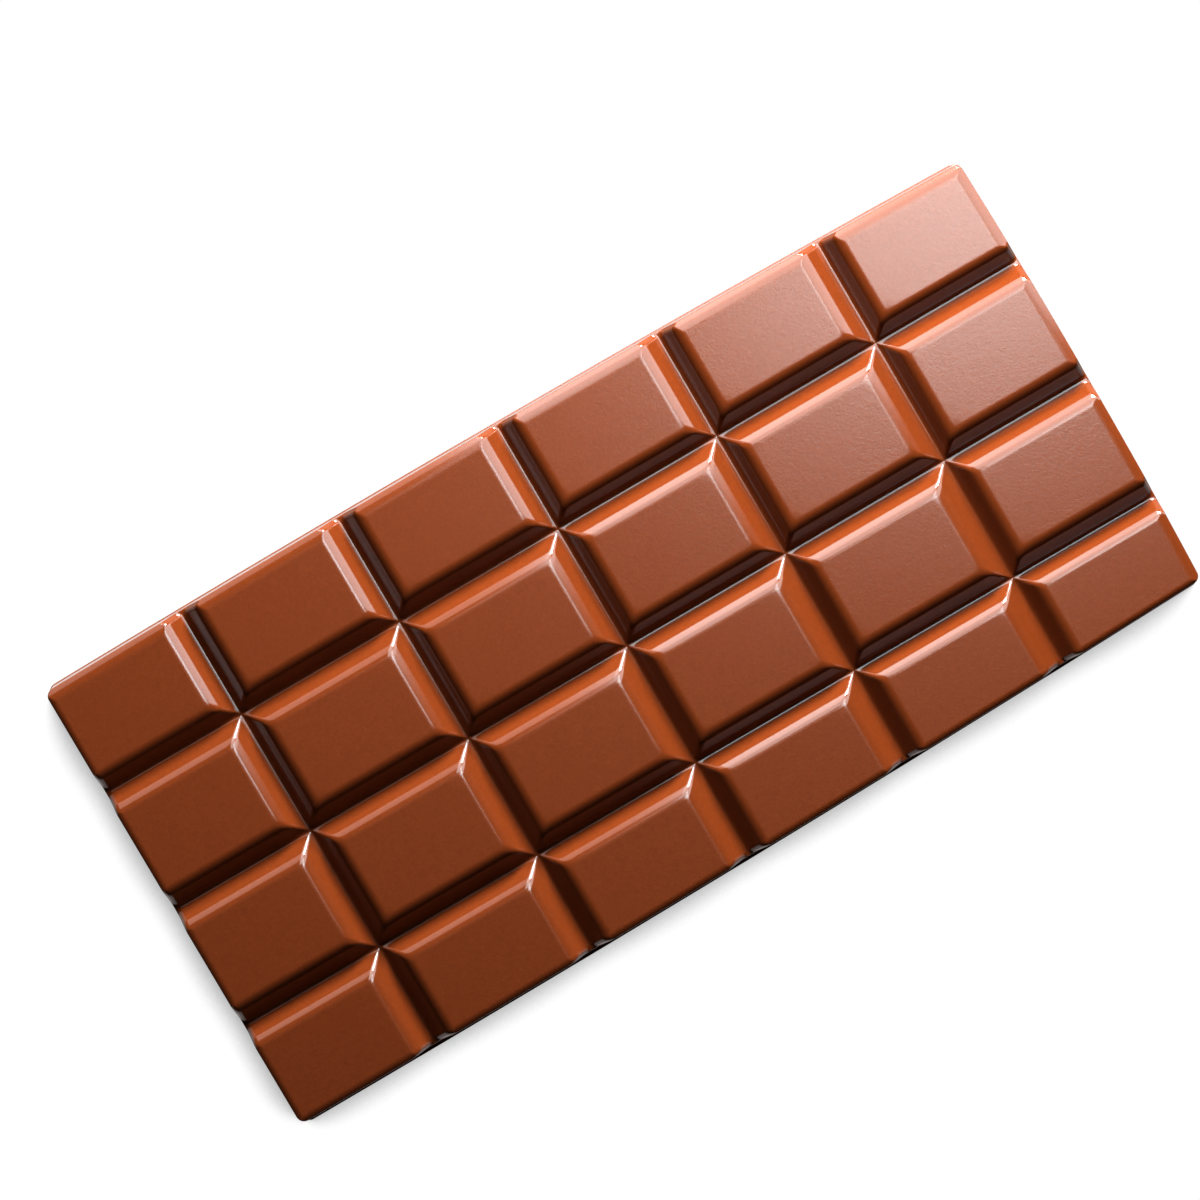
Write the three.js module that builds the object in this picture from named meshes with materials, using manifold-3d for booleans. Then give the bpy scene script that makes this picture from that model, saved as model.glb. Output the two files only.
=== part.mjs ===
// A moulded tablet of milk chocolate: one slab, its top parted by a grid of grooves into
// flat-topped pieces with rounded shoulders, and a thin rim round the foot of the outer wall.
// Its outline is a little uneven. Millimetres, +Z up. The origin is the middle of the flat back
// and X runs along the bar.

import * as THREE from 'three';
import { mergeVertices } from 'three/addons/utils/BufferGeometryUtils.js';
import Module from 'manifold-3d';

// Plan of the bar: groove spacing, and the outer pieces from the last groove to the outline at its widest.
const COLUMNS = 6;
const ROWS = 4;
const PITCH_X = 27;
const PITCH_Y = 20;
const LEFT_PIECE = 23.35;
const RIGHT_PIECE = 24.4;
const FRONT_PIECE = 17.7;
const BACK_PIECE = 18;
const LENGTH = (COLUMNS - 2) * PITCH_X + LEFT_PIECE + RIGHT_PIECE;
const WIDTH = (ROWS - 2) * PITCH_Y + FRONT_PIECE + BACK_PIECE;
const HEIGHT = 8;

// Unevenness of the outline: the front row narrows towards the right end, and three sides bow outwards.
// The widest places are shares of the length and of the width.
const FRONT_TAPER = 3;
const FRONT_BOW = 0.65;
const BACK_BOW = 1.15;
const BACK_WIDEST = 0.4;
const RIGHT_BOW = 0.6;
const RIGHT_WIDEST = 0.5;

// Grooves: distances are measured from the groove's middle line. A round shoulder leads from the flat
// top to a straight wall, and the softness rounds the bottom where the two walls meet.
const SHOULDER_END = 3.9;
const SHOULDER_RADIUS = 2.4;
const WALL_SLOPE = THREE.MathUtils.degToRad(52);
const ROOT_SOFTNESS = 0.55;
const FLOOR_HALF_WIDTH = 0.2;

// Outer wall: a rim at the foot, a steep wall, then a low shoulder curving onto the top. Rim and shoulder
// are wider on some sides than on others.
const RIM_WIDTH = { left: 0.2, right: 0.1, front: 1, back: 0.1 };
const RIM_HEIGHT = 0.9;
const RIM_ROUNDING = 0.1;
const WALL_LEAN = 0.1;
const EDGE_SHOULDER = { left: 1, right: 1.6, front: 1.1, back: 2 };
const EDGE_SLOPE = THREE.MathUtils.degToRad(30);
const GROOVE_END_STEP = 0.1;

// Corner radii in plan.
const PIECE_CORNER_ROOT = 0.15;
const PIECE_CORNER_TOP = 1.1;
const GROOVE_END_CORNER = 0.9;
const BAR_CORNER = 1.2;
const CORNER_DIVISIONS = 2;

// Places across the groove wall, from the edge of its floor to the flat top.
const WALL_STATIONS = [FLOOR_HALF_WIDTH, 0.6, 1.2, 2, 2.5, 3, 3.45, SHOULDER_END];

const QUARTER_TURN = Math.PI / 2;
const MILK_CHOCOLATE = new THREE.MeshStandardMaterial({ color: 0x74391b, roughness: 0.35, metalness: 0 });

// How far a round shoulder has dropped below the top, at a distance out from its start.
function shoulderDrop(radius, distance) {
    return radius - Math.sqrt(radius ** 2 - distance ** 2);
}

// Height of the groove wall at a distance from the groove's middle line.
function grooveWallHeight(across) {
    const shoulderRun = SHOULDER_RADIUS * Math.sin(WALL_SLOPE);
    const fromTop = Math.max(SHOULDER_END - Math.hypot(across, ROOT_SOFTNESS), 0);
    const onShoulder = Math.min(fromTop, shoulderRun);
    const onWall = fromTop - onShoulder;
    return HEIGHT - shoulderDrop(SHOULDER_RADIUS, onShoulder) - onWall * Math.tan(WALL_SLOPE);
}

const FLOOR_HEIGHT = grooveWallHeight(FLOOR_HALF_WIDTH);

// How far the outer wall on a side stands in from the outline of the bar at a height.
function outerWallInset(side, height) {
    const radius = EDGE_SHOULDER[side] / Math.sin(EDGE_SLOPE);
    const fullDrop = shoulderDrop(radius, EDGE_SHOULDER[side]);
    const drop = Math.min(HEIGHT - height, fullDrop);
    const fromTop = Math.sqrt(radius ** 2 - (radius - drop) ** 2);
    const wallTop = HEIGHT - fullDrop;
    const upWall = THREE.MathUtils.inverseLerp(RIM_HEIGHT, wallTop, Math.min(height, wallTop));
    return RIM_WIDTH[side] + WALL_LEAN * upWall + EDGE_SHOULDER[side] - fromTop;
}

// Plan positions of the lines that part the pieces, outline included, from one end to the other.
function partingLines(count, pitch, firstPiece, size) {
    const lines = [-size / 2];
    for (let line = 0; line < count - 1; line++) {
        lines.push(-size / 2 + firstPiece + line * pitch);
    }
    lines.push(size / 2);
    return lines;
}

const columnLines = partingLines(COLUMNS, PITCH_X, LEFT_PIECE, LENGTH);
const rowLines = partingLines(ROWS, PITCH_Y, FRONT_PIECE, WIDTH);

// How far a bowed side falls short at a place along it: not at all where it is widest, and by the whole
// bow at its far end.
function bowShortfall(along, widest, bow) {
    return bow * ((along - widest) / (1 - widest)) ** 2;
}

// How far a place lies from the last groove towards the outline, from 0 to 1.
function outwardShare(place, outline, piece) {
    return THREE.MathUtils.clamp(1 - (outline - place) / piece, 0, 1);
}

// Moves a point of the regular plan to the uneven one. Only the outer pieces change.
function asPoured(point, height) {
    const alongX = point.x / LENGTH + 0.5;
    const alongY = point.y / WIDTH + 0.5;
    const rightShortfall = bowShortfall(alongY, RIGHT_WIDEST, RIGHT_BOW);
    const backShortfall = bowShortfall(alongX, BACK_WIDEST, BACK_BOW);
    const frontShortfall = FRONT_TAPER * alongX - FRONT_BOW * 4 * alongX * (1 - alongX);
    const fromRight = rightShortfall * outwardShare(point.x, LENGTH / 2, RIGHT_PIECE);
    const fromBack = backShortfall * outwardShare(point.y, WIDTH / 2, BACK_PIECE);
    const fromFront = frontShortfall * outwardShare(-point.y, WIDTH / 2, FRONT_PIECE);
    return new THREE.Vector3(point.x - fromRight, point.y - fromBack + fromFront, height);
}

// A quarter circle in plan, anticlockwise from a starting angle.
function cornerArc(x, y, radius, start) {
    const arc = new THREE.EllipseCurve(x, y, radius, radius, start, start + QUARTER_TURN);
    return arc.getPoints(CORNER_DIVISIONS);
}

// A level rectangle with rounded corners, anticlockwise from its corner at +X and +Y. Its sides are
// broken at the given places along X and Y, so that they can follow the uneven outline.
function roundedRing(low, high, radii, height, breaksX = [], breaksY = []) {
    const [backRight, backLeft, frontLeft, frontRight] = radii;
    const outline = [
        ...cornerArc(high.x - backRight, high.y - backRight, backRight, 0),
        ...breaksX.toReversed().map((x) => new THREE.Vector2(x, high.y)),
        ...cornerArc(low.x + backLeft, high.y - backLeft, backLeft, QUARTER_TURN),
        ...breaksY.toReversed().map((y) => new THREE.Vector2(low.x, y)),
        ...cornerArc(low.x + frontLeft, low.y + frontLeft, frontLeft, 2 * QUARTER_TURN),
        ...breaksX.map((x) => new THREE.Vector2(x, low.y)),
        ...cornerArc(high.x - frontRight, low.y + frontRight, frontRight, 3 * QUARTER_TURN),
        ...breaksY.map((y) => new THREE.Vector2(high.x, y))
    ];
    return outline.map((point) => asPoured(point, height));
}

// A closed skin over a stack of rings, capped at both ends.
function skinOver(rings) {
    const count = rings[0].length;
    const last = (rings.length - 1) * count;
    const faces = [];
    for (let level = 0; level < rings.length - 1; level++) {
        for (let point = 0; point < count; point++) {
            const a = level * count + point;
            const b = level * count + (point + 1) % count;
            faces.push(a, b, b + count, a, b + count, a + count);
        }
    }
    for (let point = 1; point < count - 1; point++) {
        faces.push(0, point + 1, point);
        faces.push(last, last + point, last + point + 1);
    }
    const geometry = new THREE.BufferGeometry().setFromPoints(rings.flat());
    geometry.setIndex(faces);
    return geometry;
}

// One piece between its four parting lines. A side on the outline has the outer wall, the rest have
// the groove wall.
function pieceGeometry(left, right, front, back) {
    const onOutline = {
        left: left === -LENGTH / 2,
        right: right === LENGTH / 2,
        front: front === -WIDTH / 2,
        back: back === WIDTH / 2
    };
    const cornerSides = [['right', 'back'], ['left', 'back'], ['left', 'front'], ['right', 'front']];

    const ringAt = (grooveInset, height) => {
        const inset = (side) => onOutline[side] ? outerWallInset(side, height) : grooveInset;
        const radii = cornerSides.map(([endSide, longSide]) => {
            if (onOutline[endSide] && onOutline[longSide]) {
                return BAR_CORNER;
            }
            if (onOutline[endSide] || onOutline[longSide]) {
                return GROOVE_END_CORNER;
            }
            return THREE.MathUtils.lerp(PIECE_CORNER_ROOT, PIECE_CORNER_TOP, grooveInset / SHOULDER_END);
        });
        const low = new THREE.Vector2(left + inset('left'), front + inset('front'));
        const high = new THREE.Vector2(right - inset('right'), back - inset('back'));
        return roundedRing(low, high, radii, height);
    };

    const foot = ringAt(FLOOR_HALF_WIDTH, RIM_HEIGHT / 2);
    const wall = WALL_STATIONS.map((across) => ringAt(across, grooveWallHeight(across)));
    return skinOver([foot, ...wall]);
}

// The web under the grooves, with the rim round its foot.
function webGeometry() {
    const radii = new Array(4).fill(BAR_CORNER);
    const grooves = [columnLines.slice(1, -1), rowLines.slice(1, -1)];
    const ringAt = (inset, height) => {
        const low = new THREE.Vector2(-LENGTH / 2 + inset('left'), -WIDTH / 2 + inset('front'));
        const high = new THREE.Vector2(LENGTH / 2 - inset('right'), WIDTH / 2 - inset('back'));
        return roundedRing(low, high, radii, height, ...grooves);
    };

    const roundingMiddle = RIM_ROUNDING * (1 - Math.SQRT1_2);
    const rimStations = [
        [RIM_ROUNDING, 0],
        [roundingMiddle, roundingMiddle],
        [0, RIM_ROUNDING],
        [0, RIM_HEIGHT - RIM_ROUNDING],
        [roundingMiddle, RIM_HEIGHT - roundingMiddle],
        [RIM_ROUNDING, RIM_HEIGHT]
    ];
    const rim = rimStations.map(([inset, height]) => ringAt(() => inset, height));
    const wall = [RIM_HEIGHT, FLOOR_HEIGHT].map((height) =>
        ringAt((side) => outerWallInset(side, height) + GROOVE_END_STEP, height));
    return skinOver([...rim, ...wall]);
}

const wasm = await Module();
wasm.setup();

function solidFrom(geometry) {
    const welded = mergeVertices(geometry, 1e-5);
    const solid = new wasm.Mesh({
        numProp: 3,
        vertProperties: new Float32Array(welded.attributes.position.array),
        triVerts: new Uint32Array(welded.index.array)
    });
    return new wasm.Manifold(solid);
}

function meshFrom(solid, name, material) {
    const { vertProperties, triVerts } = solid.getMesh();
    const geometry = new THREE.BufferGeometry();
    geometry.setAttribute('position', new THREE.BufferAttribute(vertProperties, 3));
    geometry.setIndex(new THREE.BufferAttribute(triVerts, 1));
    geometry.computeVertexNormals();
    const mesh = new THREE.Mesh(geometry, material);
    mesh.name = name;
    return mesh;
}

let bar = solidFrom(webGeometry());
for (let column = 0; column < COLUMNS; column++) {
    for (let row = 0; row < ROWS; row++) {
        const [left, right] = columnLines.slice(column, column + 2);
        const [front, back] = rowLines.slice(row, row + 2);
        bar = bar.add(solidFrom(pieceGeometry(left, right, front, back)));
    }
}

const part = new THREE.Group();
part.add(meshFrom(bar, 'bar', MILK_CHOCOLATE));

export default part;
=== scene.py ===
import math

import bpy
import numpy as np
from mathutils import Matrix, Vector


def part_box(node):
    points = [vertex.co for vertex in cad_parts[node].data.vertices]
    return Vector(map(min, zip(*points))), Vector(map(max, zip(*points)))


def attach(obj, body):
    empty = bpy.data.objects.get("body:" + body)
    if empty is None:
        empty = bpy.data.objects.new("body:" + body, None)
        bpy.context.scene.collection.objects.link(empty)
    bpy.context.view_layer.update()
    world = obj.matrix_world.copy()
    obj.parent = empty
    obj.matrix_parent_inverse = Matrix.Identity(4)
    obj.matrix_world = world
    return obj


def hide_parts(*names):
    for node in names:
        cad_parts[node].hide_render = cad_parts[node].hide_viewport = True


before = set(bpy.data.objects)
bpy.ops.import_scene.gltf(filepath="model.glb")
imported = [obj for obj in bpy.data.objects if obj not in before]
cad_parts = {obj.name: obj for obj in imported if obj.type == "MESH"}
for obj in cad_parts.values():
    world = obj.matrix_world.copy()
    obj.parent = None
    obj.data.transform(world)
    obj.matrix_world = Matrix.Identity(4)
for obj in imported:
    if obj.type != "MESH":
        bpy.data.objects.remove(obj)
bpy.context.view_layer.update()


# The bar: one tablet of milk chocolate, poured into a polished mould and turned out on its flat back.
# The mould's ridges leave a grid of grooves with round shoulders, its flat cells leave satin tops, and
# the pour leaves a thin rim at the foot of the outer wall and a slightly uneven outline.
bar_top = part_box("bar")[1][2]
columns, rows = 6, 4
column_pitch, row_pitch = 0.027, 0.020
left_piece, right_piece = 0.02335, 0.0244
front_piece, back_piece = 0.0177, 0.018
bar_length = left_piece + (columns - 2) * column_pitch + right_piece
bar_width = front_piece + (rows - 2) * row_pitch + back_piece
front_taper, front_bow, back_bow, right_bow = 0.003, 0.00065, 0.00115, 0.0006
back_widest, right_widest = 0.4, 0.5
back_margin = 0.00002
shoulder_end = 0.0039
shoulder_radius = 0.0024
wall_slope = math.radians(52)
root_softness = 0.00055
piece_corner = 0.0011
groove_mouth = 0.0009
left_shoulder, right_shoulder, front_shoulder, back_shoulder = 0.001, 0.0016, 0.0011, 0.002
edge_slope = math.radians(30)
edge_rounding = 0.0002
wall_lean = 0.0001
left_rim, right_rim, front_rim, back_rim = 0.0002, 0.0001, 0.001, 0.0001
rim_height = 0.0009
rim_rounding = 0.00008
bar_corner = 0.0012
column_grooves = -bar_length / 2 + left_piece + np.arange(columns - 1) * column_pitch
row_grooves = -bar_width / 2 + front_piece + np.arange(rows - 1) * row_pitch


def shoulder_drop(radius, distance):
    """How far a round shoulder has dropped at a distance out from its start: r - sqrt(r^2 - distance^2)."""
    return radius - np.sqrt(radius ** 2 - distance ** 2)


def groove_drop(across):
    """How far a groove lies below the top, at a distance from its middle line.

    The distance is softened to hypot(distance, root softness), which rounds the bottom. The drop is
    that of the round shoulder, and then the run on the straight wall x tan(wall slope).
    """
    shoulder_run = shoulder_radius * math.sin(wall_slope)
    from_top = np.maximum(shoulder_end - np.hypot(across, root_softness), 0)
    on_shoulder = np.minimum(from_top, shoulder_run)
    return shoulder_drop(shoulder_radius, on_shoulder) + (from_top - on_shoulder) * math.tan(wall_slope)


def edge_drop(inside, width):
    """How far the outer shoulder lies below the top, at a distance inside the outer wall.

    It is the drop of an arc of radius width / sin(edge slope), which leaves the top level.
    """
    return shoulder_drop(width / math.sin(edge_slope), np.clip(width - inside, 0, width))


def quarter_round(distance, radius):
    """How far a quarter circle stands back at a distance from its end: r - sqrt(r^2 - (r - distance)^2)."""
    return shoulder_drop(radius, np.clip(radius - distance, 0, radius))


def mitred_distance(across_column, across_row):
    """Distance in from a piece's two groove lines to a rectangle whose corner radius grows with it.

    Beside the corner it is the smaller distance. Within the corner it solves
    (a - (1 + k) d)^2 + (b - (1 + k) d)^2 = (k d)^2 for d, with k the radius for each unit of d.
    """
    growth = piece_corner / shoulder_end
    near = np.minimum(across_column, across_row)
    far = np.maximum(across_column, across_row)
    square_term = 2 * (1 + growth) ** 2 - growth ** 2
    middle_term = (1 + growth) * (near + far)
    root = np.sqrt(np.maximum(middle_term ** 2 - square_term * (near ** 2 + far ** 2), 0))
    in_corner = near * (1 + growth) > far
    return np.where(in_corner, (middle_term + root) / square_term, near)


def surface_lines(low, high, grooves, low_shoulder, high_shoulder):
    """Places of the grid lines along one side, in order: fine over walls and shoulders, coarse over the tops.

    Beside a groove they are spaced evenly over its root, its straight wall and its shoulder. Of two
    lines that nearly meet, one is dropped.
    """
    root_end, wall_end, past_shoulder = 0.001, 0.0019, shoulder_end + 0.0001
    beside_groove = np.concatenate([
        np.linspace(0, root_end, 9),
        np.linspace(root_end, wall_end, 5)[1:],
        np.linspace(wall_end, past_shoulder, 13)[1:],
    ])
    beside_edge = np.linspace(0, 1.2, 13)
    top_spacing, closest_spacing = 0.0025, 0.00001
    lines = [groove + side * beside_groove for groove in grooves for side in (-1, 1)]
    lines += [low + low_shoulder * beside_edge, high - high_shoulder * beside_edge]
    lines += [np.arange(low + 0.004, high - 0.003, top_spacing)]
    lines = np.unique(np.round(np.concatenate(lines), 7))
    keep = np.append(True, np.diff(lines) > closest_spacing)
    return lines[keep]


def nearest_distance(places, grooves):
    """Distance from each place to the groove line nearest to it."""
    return np.abs(places[..., None] - grooves).min(axis=-1)


left_end, right_end = -bar_length / 2 + left_rim + wall_lean, bar_length / 2 - right_rim - wall_lean
front_side, back_side = -bar_width / 2 + front_rim + wall_lean, bar_width / 2 - back_rim - wall_lean
lines_x = surface_lines(left_end, right_end, column_grooves, left_shoulder, right_shoulder)
lines_y = surface_lines(front_side, back_side, row_grooves, front_shoulder, back_shoulder)
sheet_x, sheet_y = np.meshgrid(lines_x, lines_y)
edge_x = np.minimum(sheet_x - left_end, right_end - sheet_x)
edge_y = np.minimum(sheet_y - front_side, back_side - sheet_y)
side_x, side_y = np.sign(sheet_x), np.sign(sheet_y)

# The square corners of the grid are drawn in to quarter circles, each point keeping its share of the radius.
past_x = np.clip(1 - edge_x / bar_corner, 0, 1)
past_y = np.clip(1 - edge_y / bar_corner, 0, 1)
round_x = past_x * np.sqrt(1 - past_y ** 2 / 2)
round_y = past_y * np.sqrt(1 - past_x ** 2 / 2)
sheet_x = sheet_x - side_x * bar_corner * (past_x - round_x)
sheet_y = sheet_y - side_y * bar_corner * (past_y - round_y)
edge_x = edge_x + bar_corner * (past_x - round_x)
edge_y = edge_y + bar_corner * (past_y - round_y)

# The walls of a groove spread at its mouths, and the outer shoulders are mitred with the grooves' own.
across_column = nearest_distance(sheet_x, column_grooves) - quarter_round(edge_y, groove_mouth)
across_row = nearest_distance(sheet_y, row_grooves) - quarter_round(edge_x, groove_mouth)
inward = mitred_distance(np.maximum(across_column, 0), np.maximum(across_row, 0))
drop_x = edge_drop(edge_x, np.where(side_x > 0, right_shoulder, left_shoulder))
drop_y = edge_drop(edge_y, np.where(side_y > 0, back_shoulder, front_shoulder))
drop = np.maximum(groove_drop(inward), np.maximum(drop_x, drop_y))
sheet = np.stack([sheet_x, sheet_y, bar_top - drop], axis=-1)
satin_depth = 0.0001
top_share = np.clip(1 - drop / satin_depth, 0, 1)


def sheet_border(grid):
    """The grid's border as one loop, anticlockwise seen from above."""
    return np.concatenate([grid[0, :-1], grid[:-1, -1], grid[-1, :0:-1], grid[:0:-1, 0]])


border = sheet_border(sheet)
outward_x = sheet_border(side_x * round_x)
outward_y = sheet_border(side_y * round_y)
outward = np.stack([outward_x, outward_y], axis=-1)
rim_width = np.stack([
    np.where(outward_x > 0, right_rim, left_rim),
    np.where(outward_y > 0, back_rim, front_rim),
], axis=-1)

# The outer wall turns down from the border and runs to the rim, which rounds under to the flat back.
bend = np.linspace(edge_slope, math.pi / 2, 5)[1:]
bend_out = edge_rounding * (np.sin(bend) - math.sin(edge_slope))
bend_z = border[:, 2] - edge_rounding * (math.cos(edge_slope) - np.cos(bend))[:, None]
wall_down = np.linspace(0, 1, 6)[1:]
wall_out = bend_out[-1] + (wall_lean - bend_out[-1]) * wall_down
wall_z = bend_z[-1] + (rim_height - bend_z[-1]) * wall_down[:, None]
turn = np.linspace(0, math.pi / 2, 4)
back_edge = 0.001
rim_in = np.concatenate([rim_rounding * (1 - np.sin(turn)), rim_rounding * (1 - np.cos(turn)), [back_edge]])
rim_z = np.concatenate([
    rim_height - rim_rounding * (1 - np.cos(turn)),
    rim_rounding * (1 - np.sin(turn)),
    [0],
])
wall_out = np.concatenate([bend_out, wall_out])[:, None, None] + 0 * rim_width
rim_out = wall_lean + rim_width - rim_in[:, None, None]
skirt_xy = border[:, :2] + outward * np.concatenate([wall_out, rim_out])
skirt_z = np.concatenate([bend_z, wall_z, rim_z[:, None] + 0 * border[:, 2]])
skirt = np.concatenate([skirt_xy, skirt_z[..., None]], axis=-1)


def as_poured(points):
    """The uneven plan: beyond the last grooves, points are drawn in by their share of the side's shortfall.

    The back and the right side lack bow x ((t - widest) / (1 - widest))^2 at the share t along them,
    the back with a hair's margin more, and the front lacks taper x t - bow x 4 t (1 - t).
    """
    x, y, z = points.T
    along_x = x / bar_length + 0.5
    along_y = y / bar_width + 0.5
    right_lack = right_bow * ((along_y - right_widest) / (1 - right_widest)) ** 2
    back_lack = back_bow * ((along_x - back_widest) / (1 - back_widest)) ** 2 + back_margin
    front_lack = front_taper * along_x - front_bow * 4 * along_x * (1 - along_x)
    right_share = np.clip(1 - (bar_length / 2 - x) / right_piece, 0, 1)
    back_share = np.clip(1 - (bar_width / 2 - y) / back_piece, 0, 1)
    front_share = np.clip(1 - (bar_width / 2 + y) / front_piece, 0, 1)
    poured_x = x - right_lack * right_share
    poured_y = y - back_lack * back_share + front_lack * front_share
    return np.stack([poured_x, poured_y, z], axis=-1)


# One closed skin: the top sheet, the rings of the skirt below its border, and one face for the back.
sheet_index = np.arange(sheet_x.size).reshape(sheet_x.shape)
ring_index = sheet_index.size + np.arange(skirt.shape[0] * skirt.shape[1]).reshape(skirt.shape[:2])
rings = np.concatenate([sheet_border(sheet_index)[None], ring_index])
next_rings = np.roll(rings, -1, axis=1)
sheet_faces = np.stack([
    sheet_index[:-1, :-1],
    sheet_index[:-1, 1:],
    sheet_index[1:, 1:],
    sheet_index[1:, :-1],
], axis=-1).reshape(-1, 4)
skirt_faces = np.stack([rings[:-1], rings[1:], next_rings[1:], next_rings[:-1]], axis=-1).reshape(-1, 4)
bar_points = as_poured(np.concatenate([sheet.reshape(-1, 3), skirt.reshape(-1, 3)]))
bar_faces = np.concatenate([sheet_faces, skirt_faces]).tolist() + [rings[-1][::-1].tolist()]

bar_mesh = bpy.data.meshes.new("chocolate_bar")
bar_mesh.from_pydata(bar_points.tolist(), [], bar_faces)
bar_mesh.shade_smooth()
top_attribute = bar_mesh.attributes.new("satin_top", "FLOAT", "POINT")
top_attribute.data.foreach_set("value", np.append(top_share.ravel(), np.zeros(ring_index.size)))
chocolate_bar = bpy.data.objects.new("chocolate_bar", bar_mesh)
bpy.context.collection.objects.link(chocolate_bar)


def milk_chocolate():
    """Warm brown chocolate, glossy on the walls that the mould polished and satin on the flat tops.

    A fine warped grain varies the brown everywhere and raises the tops by a hundredth of a millimetre.
    """
    grain_scale, grain_detail, grain_warp = 1400, 3, 1.5
    darker_brown = (0.158, 0.0390, 0.0100, 1)
    lighter_brown = (0.182, 0.0450, 0.0116, 1)
    polished_roughness, satin_roughness = 0.12, 0.22
    grain_height = 0.00001
    cocoa_butter_ior = 1.55
    material = bpy.data.materials.new("milk_chocolate")
    material.use_nodes = True
    nodes = material.node_tree.nodes
    links = material.node_tree.links
    shader = nodes["Principled BSDF"]

    place = nodes.new("ShaderNodeTexCoord")
    grain = nodes.new("ShaderNodeTexNoise")
    grain.inputs["Scale"].default_value = grain_scale
    grain.inputs["Detail"].default_value = grain_detail
    grain.inputs["Distortion"].default_value = grain_warp
    links.new(place.outputs["Object"], grain.inputs["Vector"])
    tone = nodes.new("ShaderNodeValToRGB")
    tone.color_ramp.elements[0].position = 0.3
    tone.color_ramp.elements[0].color = darker_brown
    tone.color_ramp.elements[1].position = 0.7
    tone.color_ramp.elements[1].color = lighter_brown
    links.new(grain.outputs["Fac"], tone.inputs["Fac"])
    links.new(tone.outputs["Color"], shader.inputs["Base Color"])

    satin = nodes.new("ShaderNodeAttribute")
    satin.attribute_name = "satin_top"
    gloss = nodes.new("ShaderNodeMapRange")
    gloss.inputs["To Min"].default_value = polished_roughness
    gloss.inputs["To Max"].default_value = satin_roughness
    links.new(satin.outputs["Fac"], gloss.inputs["Value"])
    links.new(gloss.outputs["Result"], shader.inputs["Roughness"])

    relief = nodes.new("ShaderNodeBump")
    relief.inputs["Distance"].default_value = grain_height
    links.new(satin.outputs["Fac"], relief.inputs["Strength"])
    links.new(grain.outputs["Fac"], relief.inputs["Height"])
    links.new(relief.outputs["Normal"], shader.inputs["Normal"])

    shader.inputs["IOR"].default_value = cocoa_butter_ior
    return material


bar_mesh.materials.append(milk_chocolate())
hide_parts("bar")
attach(chocolate_bar, "root")


# The floor: a white table that the bar lies on, wide enough to fill every view. It glows evenly, and the
# shadow beside the bar is painted into that glow: it dims on the sides away from the light, in step with the
# share of open sky there.
floor_half = 6.0
shade_reach = 0.012
light_tilt = math.radians(40)
deepest_shade, open_sky = 0.395, 0.62
dimmed_glow, full_glow = 0.48, 1.02
floor_mesh = bpy.data.meshes.new("floor")
floor_corners = [(x * floor_half, y * floor_half, 0) for x, y in ((-1, -1), (1, -1), (1, 1), (-1, 1))]
floor_mesh.from_pydata(floor_corners, [], [(0, 1, 2, 3)])
floor = bpy.data.objects.new("floor", floor_mesh)
bpy.context.collection.objects.link(floor)
floor_paint = bpy.data.materials.new("white_table_painted_shadow")
floor_paint.use_nodes = True
floor_nodes = floor_paint.node_tree.nodes
floor_links = floor_paint.node_tree.links
floor_shader = floor_nodes["Principled BSDF"]
floor_shader.inputs["Base Color"].default_value = (0, 0, 0, 1)
floor_shader.inputs["Specular IOR Level"].default_value = 0
floor_shader.inputs["Emission Color"].default_value = (1, 1, 1, 1)
# Painted shadow: the floor's glow is dimmed by the share of open sky seen around a normal tilted towards the
# light; no lamp casts it.
shade = floor_nodes.new("ShaderNodeAmbientOcclusion")
shade.samples = 24
shade.inputs["Distance"].default_value = shade_reach
shade_towards = floor_nodes.new("ShaderNodeCombineXYZ")
shade_towards.inputs["X"].default_value = math.sin(light_tilt) * math.sqrt(0.5)
shade_towards.inputs["Y"].default_value = math.sin(light_tilt) * math.sqrt(0.5)
shade_towards.inputs["Z"].default_value = math.cos(light_tilt)
floor_links.new(shade_towards.outputs["Vector"], shade.inputs["Normal"])
brightness = floor_nodes.new("ShaderNodeMapRange")
brightness.inputs["From Min"].default_value = deepest_shade
brightness.inputs["From Max"].default_value = open_sky
brightness.inputs["To Min"].default_value = dimmed_glow
brightness.inputs["To Max"].default_value = full_glow
floor_links.new(shade.outputs["AO"], brightness.inputs["Value"])
floor_links.new(brightness.outputs["Result"], floor_shader.inputs["Emission Strength"])
floor_mesh.materials.append(floor_paint)


# The camera looks almost straight down through a long lens, leaning a little towards the lit side,
# and is turned so that the bar rises to the right.
picture_turn = math.radians(30.35)
camera_lean = math.radians(5)
lean_heading = math.radians(30)
camera_distance = 1.2
camera_aim = Vector((-0.0007, 0.0073, 0))
camera_back = Vector((
    math.sin(camera_lean) * math.sin(lean_heading),
    math.sin(camera_lean) * math.cos(lean_heading),
    math.cos(camera_lean),
))
picture_up = Vector((math.sin(picture_turn), math.cos(picture_turn), 0))
camera_right = picture_up.cross(camera_back).normalized()
camera_up = camera_back.cross(camera_right)
camera_data = bpy.data.cameras.new("camera")
camera_data.lens = 243.9
camera_data.sensor_width = 36
camera_data.clip_end = 20
camera = bpy.data.objects.new("camera", camera_data)
camera_turn = Matrix((camera_right, camera_up, camera_back)).transposed().to_4x4()
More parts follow.
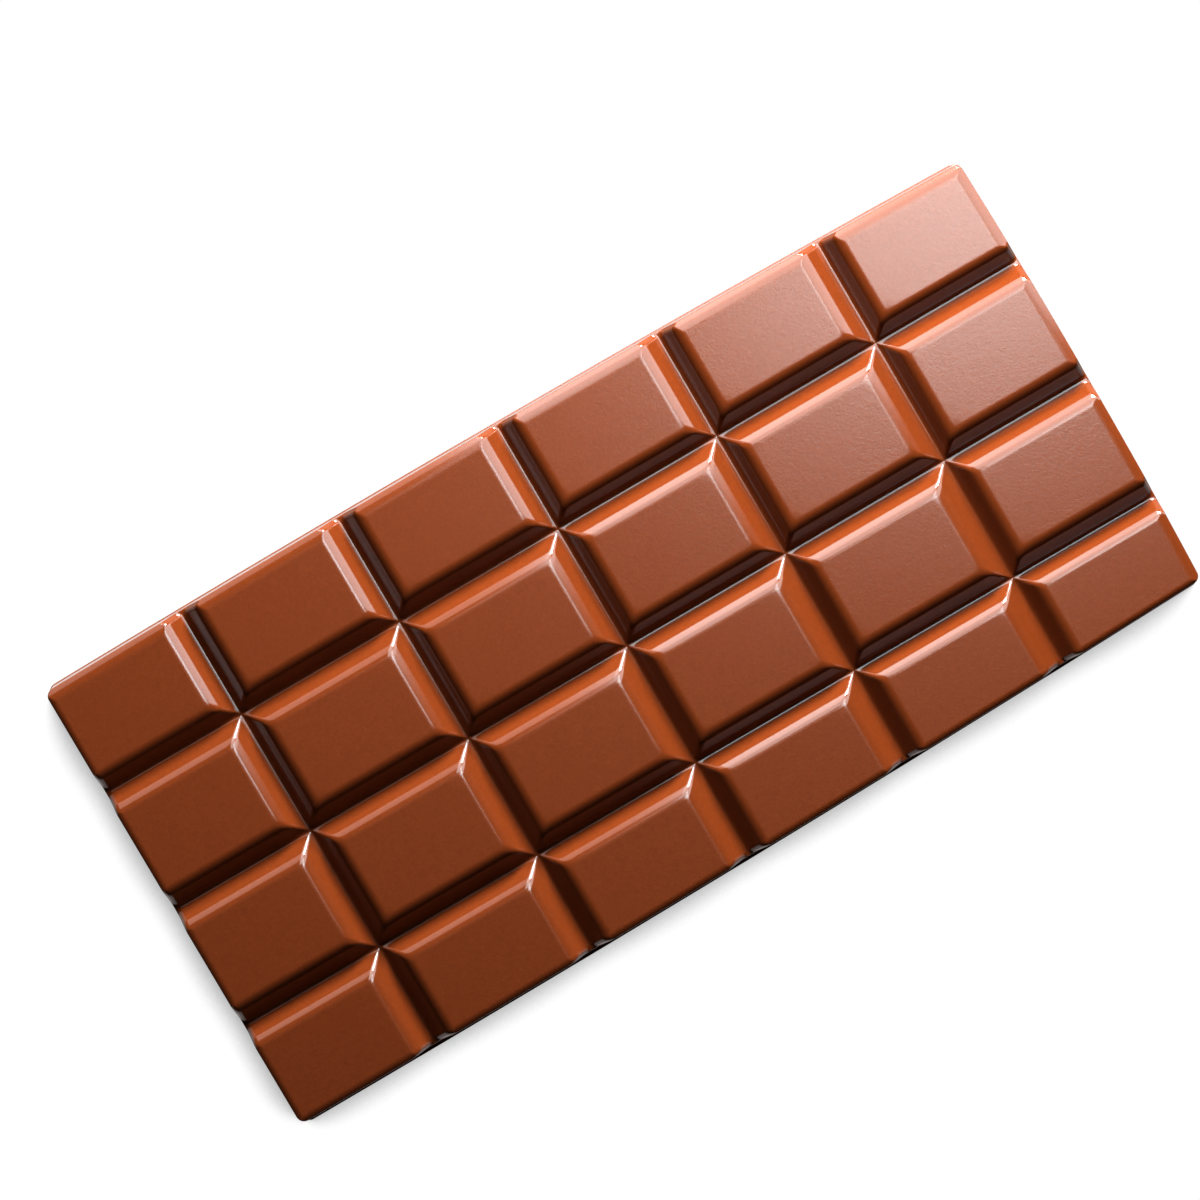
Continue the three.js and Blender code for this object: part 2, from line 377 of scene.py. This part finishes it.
camera.matrix_world = Matrix.Translation(camera_aim + camera_back * camera_distance) @ camera_turn
bpy.context.collection.objects.link(camera)
bpy.context.scene.camera = camera


# The light: one bright softbox beyond the upper edge of the picture lights the bar, in a dark room. Three
# dim cards beside it show as pale bands on the groove walls, and a small panel overhead as a sheen on the tops.
picture_frame = Matrix.Rotation(-picture_turn, 4, "Z")


def lamp(name, place, target, size, radiance, colour, lights_up=True):
    """A rectangular lamp at a place given along the picture's right, its up and the height, facing a target.

    Its power is the radiance x area x pi, which is what a flat even emitter gives off. A lamp that
    doesn't light the bar up is only mirrored in its gloss.
    """
    data = bpy.data.lights.new(name, "AREA")
    data.shape = "RECTANGLE"
    data.size, data.size_y = size
    data.energy = radiance * size[0] * size[1] * math.pi
    data.color = colour
    holder = bpy.data.objects.new(name, data)
    facing = (Vector(target) - Vector(place)).to_track_quat("-Z", "Y").to_matrix().to_4x4()
    holder.matrix_world = picture_frame @ Matrix.Translation(place) @ facing
    holder.visible_camera = False
    holder.visible_diffuse = lights_up
    bpy.context.collection.objects.link(holder)


white = (1, 1, 1)
cool_white = (0.72, 0.93, 1)
card_glow, far_card_glow = 7.6, 2.5
lamp("softbox", (0.030, 0.345, 0.170), (0, 0, 0), (0.18, 0.18), 70, white)
lamp("left_card", (-0.065, 0.240, 0.200), (0.056, 0.033, 0), (0.17, 0.51), card_glow, cool_white, False)
lamp("right_card", (0.179, 0.188, 0.200), (-0.036, 0.062, 0), (0.16, 0.51), card_glow, cool_white, False)
lamp("far_card", (-0.240, 0.300, 0.170), (-0.050, -0.030, 0), (0.25, 0.40), far_card_glow, white, False)
lamp("overhead", (0.060, 0.061, 0.400), (0.060, 0.061, 0), (0.09, 0.09), 13, cool_white, False)

room = bpy.data.worlds.new("room")
room.use_nodes = True
room_light = room.node_tree.nodes["Background"]
room_light.inputs["Color"].default_value = (1, 1, 1, 1)
room_light.inputs["Strength"].default_value = 0.015
bpy.context.scene.world = room
bpy.context.scene.view_settings.view_transform = "Standard"
bpy.context.scene.view_settings.gamma = 0.8
